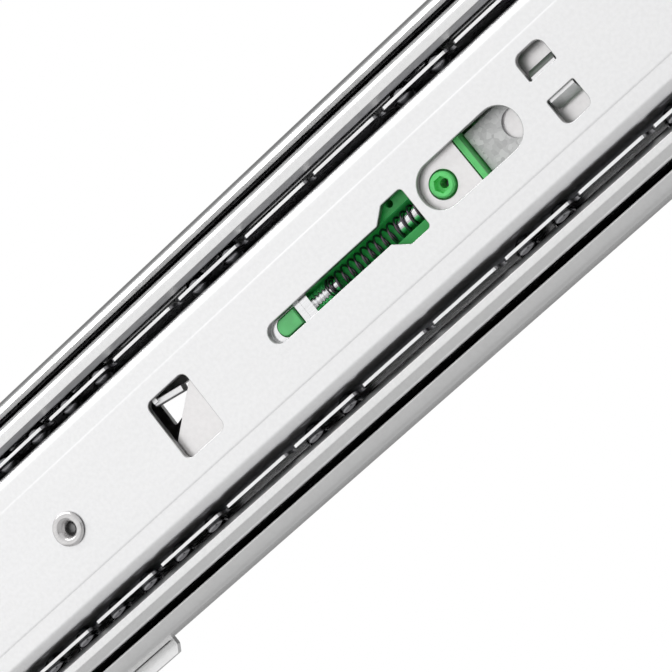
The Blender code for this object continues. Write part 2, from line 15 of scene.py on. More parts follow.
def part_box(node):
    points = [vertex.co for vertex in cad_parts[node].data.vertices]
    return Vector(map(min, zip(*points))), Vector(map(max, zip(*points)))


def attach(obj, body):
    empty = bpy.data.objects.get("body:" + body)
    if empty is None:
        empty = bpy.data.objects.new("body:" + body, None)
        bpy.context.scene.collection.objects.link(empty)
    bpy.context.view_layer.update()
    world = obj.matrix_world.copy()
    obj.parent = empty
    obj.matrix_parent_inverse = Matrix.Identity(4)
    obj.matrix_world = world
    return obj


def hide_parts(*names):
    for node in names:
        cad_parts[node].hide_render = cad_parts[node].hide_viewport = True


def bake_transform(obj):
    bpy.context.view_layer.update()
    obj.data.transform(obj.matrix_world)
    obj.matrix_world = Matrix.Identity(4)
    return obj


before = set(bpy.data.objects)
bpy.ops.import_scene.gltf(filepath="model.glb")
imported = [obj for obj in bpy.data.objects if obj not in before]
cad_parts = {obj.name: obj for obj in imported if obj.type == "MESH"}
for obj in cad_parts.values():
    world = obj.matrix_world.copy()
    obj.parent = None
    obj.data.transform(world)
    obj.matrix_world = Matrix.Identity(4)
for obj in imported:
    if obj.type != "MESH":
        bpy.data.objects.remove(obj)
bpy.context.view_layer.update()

MM = 0.001
BEND_STEP = 4.0

# Sizes that the solids also have
MEMBER_SHEET = 1.2
INTERMEDIATE_SHEET = 1.1
INNER_CAGE_SHEET = 0.5
OUTER_CAGE_SHEET = 0.4
INNER_BALL = (2.0, 7.7, 15.15)
OUTER_BALL = (1.6, 2.86, 20.29)
BALL_GAP = 0.08
CAGE_PITCH = 15.0
PAIR_SPACING = 7.4
INNER_CAGE_SEGMENTS = 12
INNER_PAIRS = (0, 2, 5, 7, 8, 9)
OUTER_PAIRS = (0, 10, 11)


def node_span(node):
    """Front and rear end of a CAD node along the slide, in millimetres."""
    low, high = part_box(node)
    return low[0] / MM, high[0] / MM


FRONT, REAR = node_span("drawer_member")
INTERMEDIATE_FRONT, INTERMEDIATE_REAR = node_span("intermediate_member")
INNER_CAGE_FRONT, INNER_CAGE_REAR = node_span("inner_ball_cage")
OUTER_CAGE_FRONT, OUTER_CAGE_REAR = node_span("outer_ball_cage")
STRIKER_X = sum(node_span("striker")) / 2
RIVET_X = sum(node_span("release_rivet")) / 2
UNIT_X = RIVET_X + 54.7
RIVET_HEIGHT = -0.7
WINDOW = (UNIT_X - 31.3, UNIT_X - 22.8, -5.4, 5.6)
KEYHOLE_FRONT = UNIT_X - 8.1
KEYHOLE_SHOULDER = UNIT_X + 16.55
KEYHOLE_HEAD = UNIT_X + 19.1
KEYHOLE_REAR = UNIT_X + 23.2
KEYHOLE_HALF = 1.75
KEYHOLE_HEAD_HALF = 3.75
SLOT_FRONT = UNIT_X + 24.7
SLOT_REAR = UNIT_X + 44.2
SLOT_HALF = 3.8
BOSS_X = UNIT_X + 28.3
LANCE_FRONT = UNIT_X + 48.9
LANCE_REAR = UNIT_X + 54.2
SPRING_DEPTH = 9.2
SPRING_RADIUS = 1.6
SPRING_WIRE = 0.4
SPRING_PITCH = 1.41
DAMPER_DEPTH = 7.7
DAMPER_HEIGHT = 6.6
POCKET_X = UNIT_X + 42.5
POCKET_RADIUS = 2.4
POCKET_FLOOR = 8.1
WEB_CUT = (9.0, 15.0)
SCREW_HOLE_RADIUS = 2.25
ACCESS_HOLE_RADIUS = 4.5
CABINET_HOLES = (-188.0, -156.0, -60.0, 100.0, 132.0, 180.0)
ACCESS_HOLES = (-156.0, -60.0, 132.0)
DRAWER_HOLES = (-205.0, -173.0, -109.0, -77.0)


# ---------------------------------------------------------------- materials

def map_range(tree, value, low, high, out_low, out_high):
    node = tree.nodes.new("ShaderNodeMapRange")
    node.inputs["From Min"].default_value = low
    node.inputs["From Max"].default_value = high
    node.inputs["To Min"].default_value = out_low
    node.inputs["To Max"].default_value = out_high
    tree.links.new(value, node.inputs["Value"])
    return node


class Shader:
    """A Principled material with small helpers for its procedural nodes."""

    def __init__(self, name, colour, roughness, metallic):
        self.material = bpy.data.materials.new(name)
        self.material.use_nodes = True
        self.tree = self.material.node_tree
        self.base = self.tree.nodes["Principled BSDF"]
        self.base.inputs["Base Color"].default_value = (*colour, 1.0)
        self.base.inputs["Roughness"].default_value = roughness
        self.base.inputs["Metallic"].default_value = metallic
        self.colour = colour
        self.roughness = roughness
        self.coordinates = self.tree.nodes.new("ShaderNodeTexCoord").outputs["Object"]

    def noise(self, scale, stretch=(1.0, 1.0, 1.0), detail=3.0, rough=0.5):
        """Noise with that many cells per metre, stretched along the piece's own axes."""
        mapping = self.tree.nodes.new("ShaderNodeMapping")
        mapping.inputs["Scale"].default_value = stretch
        self.tree.links.new(self.coordinates, mapping.inputs["Vector"])
        noise = self.tree.nodes.new("ShaderNodeTexNoise")
        noise.inputs["Scale"].default_value = scale
        noise.inputs["Detail"].default_value = detail
        noise.inputs["Roughness"].default_value = rough
        self.tree.links.new(mapping.outputs["Vector"], noise.inputs["Vector"])
        return noise.outputs["Fac"]

    def remap(self, value, low, high, out_low, out_high):
        return map_range(self.tree, value, low, high, out_low, out_high).outputs["Result"]

    def vary_roughness(self, value, spread):
        varied = self.remap(value, 0.3, 0.7, self.roughness - spread, self.roughness + spread)
        self.tree.links.new(varied, self.base.inputs["Roughness"])

    def vary_colour(self, value, spread, low=0.35, high=0.65):
        """Colour runs from darker to lighter by that fraction either way."""
        ramp = self.tree.nodes.new("ShaderNodeValToRGB")
        dark = [max(0.0, c * (1 - spread)) for c in self.colour]
        light = [min(1.0, c * (1 + spread)) for c in self.colour]
        ramp.color_ramp.elements[0].position = low
        ramp.color_ramp.elements[1].position = high
        ramp.color_ramp.elements[0].color = (*dark, 1.0)
        ramp.color_ramp.elements[1].color = (*light, 1.0)
        self.tree.links.new(value, ramp.inputs["Fac"])
        self.tree.links.new(ramp.outputs["Color"], self.base.inputs["Base Color"])

    def bump(self, value, height_mm, strength=1.0, after=None):
        node = self.tree.nodes.new("ShaderNodeBump")
        node.inputs["Strength"].default_value = strength
        node.inputs["Distance"].default_value = height_mm * MM
        self.tree.links.new(value, node.inputs["Height"])
        if after is not None:
            self.tree.links.new(after, node.inputs["Normal"])
        self.tree.links.new(node.outputs["Normal"], self.base.inputs["Normal"])
        return node.outputs["Normal"]


def zinc_sheet(name, colour, roughness, speckle):
    """Plated sheet: faint rolling streaks along the slide over a fine orange-peel speckle."""
    shader = Shader(name, colour, roughness, 1.0)
    streaks = shader.noise(900, (0.06, 1.0, 1.0), 2.0)
    speckles = shader.noise(1500, (1.0, 1.0, 1.0), 2.0)
    shader.vary_colour(speckles, speckle)
    shader.vary_roughness(streaks, 0.04)
    rolled = shader.bump(streaks, 0.0015)
    shader.bump(speckles, 0.0025, after=rolled)
    return shader.material


def mottled_zinc(name, colour, roughness):
    """Hot-dip plate with its crystal pattern, duller than the rolled sheet."""
    shader = Shader(name, colour, roughness, 0.5)
    cells = shader.tree.nodes.new("ShaderNodeTexVoronoi")
    cells.inputs["Scale"].default_value = 1500
    shader.tree.links.new(shader.coordinates, cells.inputs["Vector"])
    grey = shader.tree.nodes.new("ShaderNodeRGBToBW")
    shader.tree.links.new(cells.outputs["Color"], grey.inputs["Color"])
    shader.vary_colour(grey.outputs["Val"], 0.14, 0.2, 0.8)
    shader.vary_roughness(shader.noise(700), 0.06)
    shader.bump(grey.outputs["Val"], 0.006)
    return shader.material


def smooth_steel(name, colour, roughness):
    """Polished or drawn steel with fine scratches and a slight uneven sheen."""
    shader = Shader(name, colour, roughness, 1.0)
    scratches = shader.noise(2500, (0.1, 1.0, 1.0), 2.0)
    shader.vary_roughness(shader.noise(400), 0.05)
    shader.vary_colour(scratches, 0.05)
    shader.bump(scratches, 0.0012)
    return shader.material


def moulded_plastic(name, colour, roughness, translucency):
    """Moulded plastic: soft light inside, fine moulding texture."""
    shader = Shader(name, colour, roughness, 0.0)
    shader.base.inputs["Subsurface Weight"].default_value = translucency
    shader.base.inputs["Subsurface Radius"].default_value = (0.4, 1.0, 0.4)
    shader.base.inputs["Subsurface Scale"].default_value = 0.6 * MM
    shader.vary_colour(shader.noise(350, detail=2.0), 0.08)
    shader.vary_roughness(shader.noise(900), 0.05)
    shader.bump(shader.noise(3000, detail=1.0), 0.003)
    return shader.material


web_zinc = zinc_sheet("web_zinc", (0.94, 0.94, 0.945), 0.36, 0.02)
lip_zinc = zinc_sheet("rolled_zinc", (0.84, 0.84, 0.84), 0.18, 0.02)
bright_plate = zinc_sheet("bright_plate", (0.90, 0.885, 0.885), 0.34, 0.02)
mottled_plate = mottled_zinc("mottled_plate", (0.74, 0.74, 0.74), 0.36)
# Darker grey for the drawer member's broken edges: painted shade that draws a dark outline round its
# openings.
edge_outline_shade = smooth_steel("edge_outline_shade", (0.66, 0.66, 0.66), 0.3)
# Dark steel for the walls of the drawer member's openings and for the rivet's bore: painted shade in these
# hollows.
painted_shade_wall = smooth_steel("painted_shade_wall", (0.30, 0.30, 0.30), 0.4)
cage_steel = smooth_steel("cage_steel", (0.24, 0.24, 0.25), 0.28)
# Mid grey for the intermediate member's chamfered lip edge: painted shade that gives a dark band where the
# lip turns down.
chamfer_shade_band = smooth_steel("chamfer_shade_band", (0.50, 0.50, 0.50), 0.4)
sheared_edge = moulded_plastic("sheared_edge", (0.86, 0.86, 0.86), 0.5, 0.0)
# Near-white steel for the front faces of the inner cage's rim: a painted highlight.
rim_highlight_steel = smooth_steel("rim_highlight_steel", (0.95, 0.95, 0.95), 0.35)
# The balls' steel is kept dark: painted shade for the dark surround that the balls mirror.
ball_steel = smooth_steel("ball_steel", (0.24, 0.24, 0.25), 0.06)
spring_steel = smooth_steel("spring_steel", (0.14, 0.12, 0.14), 0.32)
pin_steel = smooth_steel("pin_steel", (0.92, 0.92, 0.93), 0.16)
rivet_steel = smooth_steel("rivet_steel", (0.70, 0.69, 0.69), 0.2)
damper_steel = smooth_steel("damper_steel", (0.55, 0.55, 0.56), 0.3)
green_plastic = moulded_plastic("green_plastic", (0.03, 0.40, 0.08), 0.34, 0.15)
# Lighter copy of the housing's green for the spring trough: painted light against the shade in the trough.
trough_painted_light = moulded_plastic("trough_painted_light", (0.08, 0.78, 0.20), 0.34, 0.15)
light_green_plastic = moulded_plastic("light_green_plastic", (0.15, 0.74, 0.21), 0.36, 0.2)
tongue_plastic = moulded_plastic("tongue_plastic", (0.14, 0.58, 0.20), 0.42, 0.2)
black_plastic = moulded_plastic("black_plastic", (0.02, 0.02, 0.02), 0.45, 0.0)


# ---------------------------------------------------------------- shape helpers

def place(x, depth, height):
    return Vector((x, -depth, height)) * MM


def finish_mesh(bm, name, material=None):
    bmesh.ops.recalc_face_normals(bm, faces=bm.faces)
    mesh = bpy.data.meshes.new(name)
    bm.to_mesh(mesh)
    bm.free()
    thing = bpy.data.objects.new(name, mesh)
    bpy.context.scene.collection.objects.link(thing)
    if material is not None:
        mesh.materials.append(material)
    return thing


def evaluated_mesh(thing):
    bpy.context.view_layer.update()
    depsgraph = bpy.context.evaluated_depsgraph_get()
    return bpy.data.meshes.new_from_object(thing.evaluated_get(depsgraph))


def shape(thing, join=(), cut=()):
    """Joins and cuts with other solids, which are then removed."""
    for operation, tools in (('UNION', join), ('DIFFERENCE', cut)):
        for tool in tools:
            step = thing.modifiers.new(tool.name, 'BOOLEAN')
            step.operation = operation
            step.solver = 'EXACT'
            step.object = tool
    thing.data = evaluated_mesh(thing)
    thing.modifiers.clear()
    for tool in (*join, *cut):
        bpy.data.objects.remove(tool)
    return thing


def break_edges(thing, width, segments=2, angle=35, material=-1):
    """Rounds the sharp edges and shades the rest smooth. The edges can take a material slot."""
    bm = bmesh.new()
    bm.from_mesh(thing.data)
    bmesh.ops.remove_doubles(bm, verts=bm.verts, dist=1e-7)
    bmesh.ops.dissolve_limit(bm, angle_limit=math.radians(0.5), verts=bm.verts, edges=bm.edges)
    bm.to_mesh(thing.data)
    bm.free()
    thing.data.shade_smooth()
    bevel = thing.modifiers.new("broken_edges", 'BEVEL')
    bevel.width = width * MM
    bevel.segments = segments
    bevel.material = material
    bevel.limit_method = 'ANGLE'
    bevel.angle_limit = math.radians(angle)
    bevel.harden_normals = True
    bevel.use_clamp_overlap = True
    return thing


def stands_for(thing, body, slot, *nodes):
    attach(thing, body)
    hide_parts(*nodes)
    return thing


def rounded(corners, steps=8):
    """Outline through (a, b, radius) corners, each replaced by an arc of its radius."""
    outline = []
    count = len(corners)
    for i, (a, b, radius) in enumerate(corners):
        here = Vector((a, b))
        if radius <= 0:
            outline.append(here)
            continue
        before = (Vector(corners[i - 1][:2]) - here).normalized()
        after = (Vector(corners[(i + 1) % count][:2]) - here).normalized()
        half = before.angle(after) / 2
        middle = here + (before + after).normalized() * radius / math.sin(half)
        start = here + before * radius / math.tan(half) - middle
        end = here + after * radius / math.tan(half) - middle
        sweep = start.angle_signed(end)
        for step in range(steps + 1):
            turn = -sweep * step / steps
            outline.append(middle + Vector((
                start.x * math.cos(turn) - start.y * math.sin(turn),
                start.x * math.sin(turn) + start.y * math.cos(turn))))
    return outline


def rectangle(x0, x1, z0, z1, radius=0.0, steps=8):
    return rounded([(x0, z0, radius), (x1, z0, radius), (x1, z1, radius), (x0, z1, radius)], steps)


def circle(x, z, radius, sides=48):
    return [Vector((x + radius * math.cos(2 * math.pi * i / sides),
                    z + radius * math.sin(2 * math.pi * i / sides))) for i in range(sides)]


def prism(name, corners, sweep, material=None):
    bm = bmesh.new()
    face = bm.faces.new([bm.verts.new(corner) for corner in corners])
    grown = bmesh.ops.extrude_face_region(bm, geom=[face])
    moved = [v for v in grown["geom"] if isinstance(v, bmesh.types.BMVert)]
    bmesh.ops.translate(bm, verts=moved, vec=sweep)
    return finish_mesh(bm, name, material)


def plate(name, outline, depth0, depth1, material=None):
    """Prism of an (x, height) outline between two depths."""
    corners = [place(x, depth0, height) for x, height in outline]
    return prism(name, corners, place(0, depth1 - depth0, 0), material)


def bar_along_x(name, outline, x0, x1, material=None):
    """Prism of a (depth, height) outline between two stations along the slide."""
    corners = [place(x0, depth, height) for depth, height in outline]
    return prism(name, corners, place(x1 - x0, 0, 0), material)


def bar_along_z(name, outline, height0, height1, material=None):
    """Prism of an (x, depth) outline between two heights."""
    corners = [place(x, depth, height0) for x, depth in outline]
    return prism(name, corners, place(0, 0, height1 - height0), material)


def turned(name, profile, axis_start, direction, material=None, sides=64):
    """Solid of revolution from a closed (radius, distance) profile about an axis."""
    bm = bmesh.new()
    turn = Vector((0, 0, 1)).rotation_difference(Vector(direction)).to_matrix().to_4x4()
    rings = [bm.verts.new(Vector((r, 0, along)) * MM) for r, along in profile]
    edges = [bm.edges.new((rings[i - 1], rings[i])) for i in range(len(rings))
             if profile[i - 1][0] > 0 or profile[i][0] > 0]
    bmesh.ops.spin(bm, geom=rings + edges, axis=(0, 0, 1), cent=(0, 0, 0),
                   steps=sides, angle=2 * math.pi, use_merge=True)
    bmesh.ops.remove_doubles(bm, verts=bm.verts, dist=1e-7)
    bm.transform(Matrix.Translation(axis_start) @ turn)
    return finish_mesh(bm, name, material)


class SheetPath:
    """Centre line of a bent sheet in (depth, height), drawn by a pen with a heading.

    Heading 0 points away from the cabinet face and 90 points up.
    """

    def __init__(self, depth, heading=90.0):
        self.points = [(depth, 0.0)]
        self.heading = heading

    def run(self, length):
        depth, height = self.points[-1]
        turn = math.radians(self.heading)
        self.points.append((depth + length * math.cos(turn), height + length * math.sin(turn)))
        return self

    def bend(self, radius, angle, step=BEND_STEP):
        side = math.copysign(1.0, angle)
        start = math.radians(self.heading)
        depth, height = self.points[-1]
        centre = (depth - side * radius * math.sin(start), height + side * radius * math.cos(start))
        pieces = max(1, math.ceil(abs(angle) / step))
        for i in range(1, pieces + 1):
            now = start + math.radians(angle) * i / pieces
            self.points.append((centre[0] + side * radius * math.sin(now),
                                centre[1] - side * radius * math.cos(now)))
        self.heading += angle
        return self

    def both_halves(self):
        upper = self.points[1:]
        lower = [(depth, -height) for depth, height in reversed(upper)]
        return lower + upper


def sheet(name, path, thickness, x0, x1, material):
    """Roll-formed channel: the path drawn out along X and given its sheet thickness."""
    bm = bmesh.new()
    chain = [bm.verts.new(place(x0, depth, height)) for depth, height in path.both_halves()]
    edges = [bm.edges.new(pair) for pair in zip(chain, chain[1:])]
    grown = bmesh.ops.extrude_edge_only(bm, edges=edges)
    moved = [v for v in grown["geom"] if isinstance(v, bmesh.types.BMVert)]
    bmesh.ops.translate(bm, verts=moved, vec=place(x1 - x0, 0, 0))
    thing = finish_mesh(bm, name, material)
    wall = thing.modifiers.new("sheet", 'SOLIDIFY')
    wall.thickness = thickness * MM
    wall.offset = 0.0
    wall.use_even_offset = True
    return thing


def spheres(name, places, radius, material=None, segments=32):
    bm = bmesh.new()
    for spot in places:
        made = bmesh.ops.create_uvsphere(bm, u_segments=segments, v_segments=segments // 2,
                                         radius=radius * MM)
        bmesh.ops.translate(bm, verts=made["verts"], vec=spot)
    return finish_mesh(bm, name, material)


# ---------------------------------------------------------------- members

def dress_cabinet_member():
    radius, _, height = OUTER_BALL
    half = MEMBER_SHEET / 2
    corner = radius + BALL_GAP + half
    path = SheetPath(half).run(height).bend(corner, -90).run(4.64).bend(2.0, -70).run(0.25)
    member = sheet("cabinet_member_rolled", path, MEMBER_SHEET, FRONT, REAR, lip_zinc)
    foot_rear = UNIT_X - 57.5
    foot_front = foot_rear - 26.0
    notch = bar_along_x("notch", rectangle(-1.0, 2.1, -25.0, -17.2), foot_front, foot_rear - 0.9)
    foot = plate("foot", rounded([(foot_front + 0.9, -16.6, 0), (foot_rear - 1.8, -16.6, 0),
                                  (foot_rear - 1.8, -21.8, 0.8), (foot_rear, -22.5, 0.8),
                                  (foot_rear, -24.2, 0.9), (foot_rear - 0.8, -25.4, 0.3),
                                  (foot_front + 2.2, -25.4, 1.2), (foot_front + 0.9, -23.8, 1.0)]),
                 0.02, MEMBER_SHEET - 0.02)
    window = plate("cabinet_window", rectangle(UNIT_X - 34.8, UNIT_X - 22.0, 1.0, 8.0, 1.5), -2.0, 4.0)
    holes = [plate(f"hole_{i}", circle(x, 0, SCREW_HOLE_RADIUS), -2.0, 4.0)
             for i, x in enumerate(CABINET_HOLES)]
    shape(member, cut=[notch, window, *holes])
    shape(member, join=[foot])
    member.data.materials.append(sheared_edge)
    for face in member.data.polygons:
        if face.center.y < -9 * MM and face.normal.z * face.center.z < -0.9 * abs(face.center.z):
            face.material_index = 1
    break_edges(member, 0.12)
    stands_for(member, "cabinet", "zinc_steel", "cabinet_member")


def dress_intermediate_member():
    path = SheetPath(2.85).run(17.12).bend(1.164, -70).bend(2.21, 25).bend(1.95, -45)
    path.run(3.07).bend(1.48, -90).run(1.72)
    member = sheet("intermediate_member_rolled", path, INTERMEDIATE_SHEET, INTERMEDIATE_FRONT,
                   INTERMEDIATE_REAR, lip_zinc)
    holes = [plate(f"access_{i}", circle(x, 0, ACCESS_HOLE_RADIUS), 1.0, 5.0)
             for i, x in enumerate(ACCESS_HOLES)]
    wedge = plate("wedge_opening", rounded([(UNIT_X - 33.3, 1.9, 0.3), (UNIT_X - 22.5, 3.9, 0.3),
                                            (UNIT_X - 22.5, 5.5, 0.3), (UNIT_X - 33.3, 6.5, 0.3)]),
                  1.0, 5.0)
    striker_way = plate("striker_way", rectangle(STRIKER_X - 7, INTERMEDIATE_REAR + 5, -2.4, 2.4),
                        1.0, 5.0)
    chamfers = [bar_along_x(name, [Vector((9.99, side * 16.0)), Vector((11.5, side * 15.9)),
                                   Vector((11.5, side * 17.55))],
                            INTERMEDIATE_FRONT - 1, INTERMEDIATE_REAR + 1)
                for name, side in (("upper_lip_chamfer", 1), ("lower_lip_chamfer", -1))]
    shape(member, cut=[wedge, striker_way, *holes, *chamfers])
    # The chamfer and lip edge faces take the mid grey: painted shade.
    member.data.materials.append(chamfer_shade_band)
    for face in member.data.polygons:
        across = abs(face.center.z)
        if face.center.y < -9.99 * MM and across < 17.6 * MM and face.normal.y > -0.98:
            face.material_index = 1
    break_edges(member, 0.1)
    stands_for(member, "intermediate", "zinc_steel", "intermediate_member")


def dress_drawer_member():
    radius, depth, height = INNER_BALL
    race = radius + BALL_GAP + MEMBER_SHEET / 2
    flange = height - race
    path = SheetPath(12.1).run(8.3).bend(1.0, 14).bend(1.0, -14)
    path.run(flange - 1.4 - path.points[-1][1]).bend(1.4, 90)
    path.run(path.points[-1][0] - depth).bend(race, -55)
    member = sheet("drawer_member_rolled", path, MEMBER_SHEET, FRONT, REAR, web_zinc)
    half = KEYHOLE_HALF
    head = KEYHOLE_HEAD_HALF
    cuts = [
        plate("window", rectangle(*WINDOW, 1.2), *WEB_CUT),
        plate("keyhole", rounded([
            (KEYHOLE_FRONT, -half, half * 0.98), (KEYHOLE_SHOULDER, -half, 0.4),
            (KEYHOLE_HEAD, -head, 0.5), (KEYHOLE_REAR, -head, 0.7), (KEYHOLE_REAR, head, 0.7),
            (KEYHOLE_HEAD, head, 0.5), (KEYHOLE_SHOULDER, half, 0.4),
            (KEYHOLE_FRONT, half, half * 0.98)]), *WEB_CUT),
        plate("slot", rectangle(SLOT_FRONT, SLOT_REAR, -SLOT_HALF, SLOT_HALF, SLOT_HALF * 0.98, 14),
              *WEB_CUT),
        plate("upper_lance", rounded([(LANCE_FRONT, 2.2, 0.3), (LANCE_REAR, 2.2, 0.3),
                                      (LANCE_REAR, 6.5, 1.4), (LANCE_FRONT, 6.5, 1.4)]), *WEB_CUT),
        plate("lower_lance", rounded([(LANCE_FRONT, -6.4, 1.4), (LANCE_REAR, -6.4, 1.4),
                                      (LANCE_REAR, -1.6, 0.3), (LANCE_FRONT, -1.6, 0.3)]), *WEB_CUT),
        plate("rivet_hole", circle(RIVET_X, RIVET_HEIGHT, 2.0), *WEB_CUT)]
    cuts += [plate(f"drawer_hole_{i}", circle(x, 0, SCREW_HOLE_RADIUS), *WEB_CUT)
             for i, x in enumerate(DRAWER_HOLES)]
    ears = [bar_along_x(name, [Vector((11.55, height0 - lean * 0.4)),
                               Vector((12.2, height0 - lean * 0.4)),
                               Vector((12.2, height0 + lean * 0.5)),
                               Vector((10.9, height0 + lean * 1.7)),
                               Vector((10.1, height0 + lean * 1.1)),
                               Vector((11.3, height0))],
                        LANCE_FRONT + 0.35, LANCE_REAR - 0.35)
            for name, height0, lean in (("upper_ear", 2.2, 1.0), ("lower_ear", -1.6, -1.0))]
    stop = bar_along_x("lever_stop", rectangle(9.2, 11.3, -0.55, 0.55, 0.2), -2.7, 2.7)
    stop.data.transform(Matrix.Translation(place(UNIT_X - 27.8, 0, 4.6))
                        @ Matrix.Rotation(math.radians(11), 4, 'Y'))
    stop_root = bar_along_x("lever_stop_root", rectangle(10.2, 11.9, 4.9, 6.6), UNIT_X - 30.3, UNIT_X - 29.5)
    shape(member, cut=cuts)
    member.data.materials.append(edge_outline_shade)
    member.data.materials.append(painted_shade_wall)
    # Faces of the opening walls take the dark steel: painted shade.
    for face in member.data.polygons:
        if face.center.y < -11.4 * MM and abs(face.normal.y) < 0.3 and abs(face.center.z) < 8 * MM:
            face.material_index = 2
    # The broken edges take the darker grey, a painted shade outline.
    break_edges(member, 0.26, 4, 50, 1)
    member.data = evaluated_mesh(member)
    member.modifiers.clear()
    shape(member, join=[*ears, stop, stop_root])
    stands_for(member, "drawer", "zinc_steel", "drawer_member")


# ---------------------------------------------------------------- cages and balls

def pair_stations(cage_rear, pairs):
    stations = []
    for segment in pairs:
        middle = cage_rear - (segment + 0.5) * CAGE_PITCH
        stations += [middle - PAIR_SPACING / 2, middle + PAIR_SPACING / 2]
    return sorted(stations)


def ball_places(ball, stations):
    radius, depth, height = ball
    return [place(x, depth, side * height) for side in (1, -1) for x in stations]


def dress_cage(name, node, body, path, thickness, ball, span, pairs, open_half):
    front, rear = span
    cage = sheet(name, path, thickness, front, rear, cage_steel)
    pockets = spheres("pockets", ball_places(ball, pair_stations(rear, pairs)), ball[0] + 0.12)
    openings = [plate(f"opening_{i}", rectangle(x0, x1, -open_half, open_half, 3.0), 0.5, 6.0)
                for i, (x0, x1) in enumerate(((front + 8, UNIT_X - 15), (UNIT_X - 7, rear - 8)))]
    shape(cage, cut=[pockets, *openings])
    stands_for(cage, body, "cage_steel", node)
    return cage


def scallop_rim(cage, rim_depth):
    """Rounded notch in both rims of the cage between each two segments."""
    half_profile = [(1.5, -0.02), (1.1, -0.1), (0.75, -0.35), (0.52, -0.8), (0.42, -1.4), (0.38, -2.2)]
    notches = []
    for i in range(1, INNER_CAGE_SEGMENTS):
        x = INNER_CAGE_REAR - i * CAGE_PITCH
        left = [Vector((x - across, rim_depth + along)) for across, along in half_profile]
        right = [Vector((x + across, rim_depth + along)) for across, along in reversed(half_profile)]
        outside = [Vector((x + 1.6, rim_depth + 0.5)), Vector((x - 1.6, rim_depth + 0.5))]
        notches.append(bar_along_z(f"rim_notch_{i}", left + right + outside, -20.0, 20.0))
    shape(cage, cut=notches)


def paint_rim_highlight(cage):
    """Paints the front faces of the rim near-white: a painted highlight along the rim."""
    cage.data.materials.append(rim_highlight_steel)
    for face in cage.data.polygons:
        if face.normal.y < -0.95 and face.center.y < -11 * MM:
            face.material_index = 1


def dress_cages():
    inner_path = SheetPath(4.05).run(14.1).bend(0.6, -90).run(6.75)
    inner = dress_cage("inner_cage_formed", "inner_ball_cage", "inner_cage", inner_path,
                       INNER_CAGE_SHEET, INNER_BALL, (INNER_CAGE_FRONT, INNER_CAGE_REAR),
                       INNER_PAIRS, 10.0)
    scallop_rim(inner, 11.4)
    paint_rim_highlight(inner)
    break_edges(inner, 0.05)
    outer_path = SheetPath(1.75).run(19.0).bend(0.6, -45).run(1.84).bend(0.6, -45).run(3.75)
    outer = dress_cage("outer_cage_formed", "outer_ball_cage", "outer_cage", outer_path,
                       OUTER_CAGE_SHEET, OUTER_BALL, (OUTER_CAGE_FRONT, OUTER_CAGE_REAR),
                       OUTER_PAIRS, 12.0)
    break_edges(outer, 0.06)


def dress_balls(row_name, body, ball, cage_rear, pairs):
    stations = pair_stations(cage_rear, pairs)
    count = len(stations)
    for i, spot in enumerate(ball_places(ball, stations)):
        row = "upper" if i < count else "lower"
        node = f"{row_name}_ball_{row}_{i % count + 1}"
        thing = spheres(f"{node}_ground", [spot], ball[0], ball_steel)
        thing.data.shade_smooth()
        stands_for(thing, body, "ball_steel", node)


# ---------------------------------------------------------------- self-closing unit

def dress_unit_housing():
    block_front = KEYHOLE_FRONT - 1.2
    block_rear = SLOT_FRONT - 1.5
    housing = plate("unit_body_moulded", rectangle(block_front, block_rear, -10.9, 10.9, 1.0), 5.0, 11.0,
                    green_plastic)
    rails = [plate(name, rectangle(block_rear - 3, STRIKER_X + 10, low, high), 5.0, 11.0)
             for name, low, high in (("upper_rail", 9.4, 10.9), ("lower_rail", -10.9, -9.4))]
    bridge = plate("rear_bridge", rectangle(136.0, 140.0, -10.5, 10.5), 5.2, 10.8)
    bridge_way = plate("bridge_way", rectangle(135.0, 141.0, -4.4, 4.4), 5.9, 8.1)
    cradle = turned("damper_cradle", [(0, 0), (2.65, 0), (2.65, 10), (0, 10)],
                    place(133.0, DAMPER_DEPTH, DAMPER_HEIGHT), (1, 0, 0))
    shape(housing, join=[*rails, bridge])
    shape(housing, cut=[bridge_way, cradle])
    trough_front = KEYHOLE_FRONT + 5.65
    floor = [Vector((SPRING_DEPTH - 2.05 * math.sin(a), 2.05 * math.cos(a)))
             for a in (math.pi * i / 24 for i in range(25))]
    trough = bar_along_x("trough", [Vector((14.0, 2.05))] + floor + [Vector((14.0, -2.05))],
                         trough_front, block_rear + 2)
    sight = plate("sight_hole", circle(UNIT_X + 19.8, 3.4, 0.6), 8.0, 13.0)
    shape(housing, cut=[trough, sight])
    # The trough's faces take the lighter green: painted light in the recess.
    housing.data.materials.append(trough_painted_light)
    for face in housing.data.polygons:
        along_trough = trough_front * MM < face.center.x < block_rear * MM - 0.0001
        across_trough = abs(face.center.z) < 2.06 * MM and face.center.y > -10.98 * MM
        if along_trough and across_trough:
            face.material_index = 1
    break_edges(housing, 0.15)
    stands_for(housing, "drawer", "green_plastic", "unit_housing")

    tongue = plate("unit_tongue", rounded([(KEYHOLE_FRONT + 1.6, -1.4, 1.3), (KEYHOLE_FRONT + 5.6, -1.4, 0.2),
                                           (KEYHOLE_FRONT + 5.6, 1.4, 0.2), (KEYHOLE_FRONT + 1.6, 1.4, 1.3)]),
                   10.9, 12.0, tongue_plastic)
    break_edges(tongue, 0.2, 3)
    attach(tongue, "drawer")


